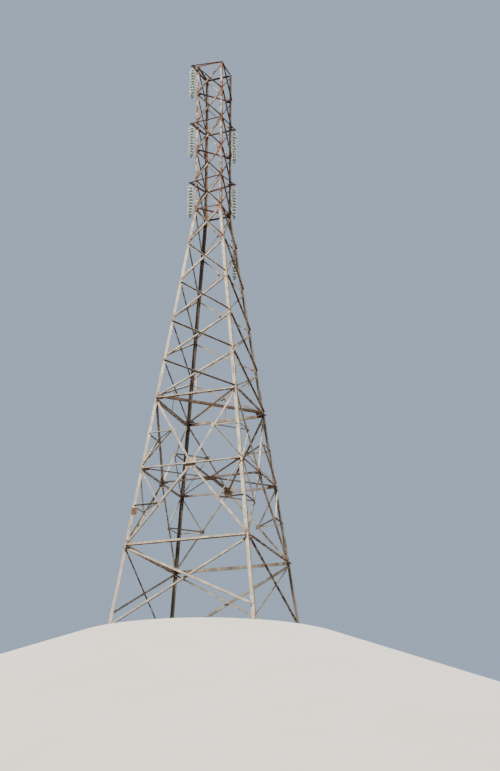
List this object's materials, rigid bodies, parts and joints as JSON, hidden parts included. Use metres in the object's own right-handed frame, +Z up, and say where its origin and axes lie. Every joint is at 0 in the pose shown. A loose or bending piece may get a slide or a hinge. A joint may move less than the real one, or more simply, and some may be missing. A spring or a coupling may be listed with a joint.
{
  "type": "lattice transmission pylon",
  "caption": "Slim square lattice steel pylon with a spreading braced body, short corner arms and hanging glass insulator strings.",
  "frame": {"origin": "on the ground under the tower's axis, level with the undersides of the four base plates", "axes": "+Z up the tower; the front face looks along -Y; +X to the right of the front face"},
  "size_m": [6.1006, 6.1006, 25.9],
  "materials": {
    "leg_steel": "weathered pale grey coat over galvanised steel, with brown rust",
    "lattice_steel": "weathered pale grey coat over galvanised steel, rusted at the bolted ends",
    "foot_steel": "weathered grey coat, dull and rusty",
    "insulator_glass": "toughened green-tinted glass",
    "fitting_steel": "dull galvanised malleable iron"
  },
  "bodies": {
    "root": {"foot_front_left": "foot_steel", "foot_front_right": "foot_steel", "foot_back_right": "foot_steel", "foot_back_left": "foot_steel", "leg_front_left": "leg_steel", "leg_front_right": "leg_steel", "leg_back_right": "leg_steel", "leg_back_left": "leg_steel", "cage_bracing_front": "lattice_steel", "cage_bracing_right": "lattice_steel", "cage_bracing_back": "lattice_steel", "cage_bracing_left": "lattice_steel", "body_bracing_front": "lattice_steel", "body_bracing_right": "lattice_steel", "body_bracing_back": "lattice_steel", "body_bracing_left": "lattice_steel", "hip_bracing_front": "lattice_steel", "hip_bracing_right": "lattice_steel", "hip_bracing_back": "lattice_steel", "hip_bracing_left": "lattice_steel", "base_bracing_front": "lattice_steel", "base_bracing_right": "lattice_steel", "base_bracing_back": "lattice_steel", "base_bracing_left": "lattice_steel", "leg_splices": "lattice_steel", "hanger_bars": "lattice_steel", "cage_rings": "lattice_steel", "belt_upper": "lattice_steel", "belt_middle": "lattice_steel", "belt_lower": "lattice_steel", "plan_plates": "lattice_steel", "plan_bars": "lattice_steel", "arm_left_top": "lattice_steel", "arm_left_middle": "lattice_steel", "arm_left_bottom": "lattice_steel", "arm_right_top": "lattice_steel", "arm_right_middle": "lattice_steel", "arm_right_bottom": "lattice_steel", "glass_string_left_top": "insulator_glass", "glass_string_left_middle": "insulator_glass", "glass_string_left_bottom": "insulator_glass", "glass_string_right_top": "insulator_glass", "glass_string_right_middle": "insulator_glass", "glass_string_right_bottom": "insulator_glass", "string_fittings": "fitting_steel"}
  },
  "joints": []
}
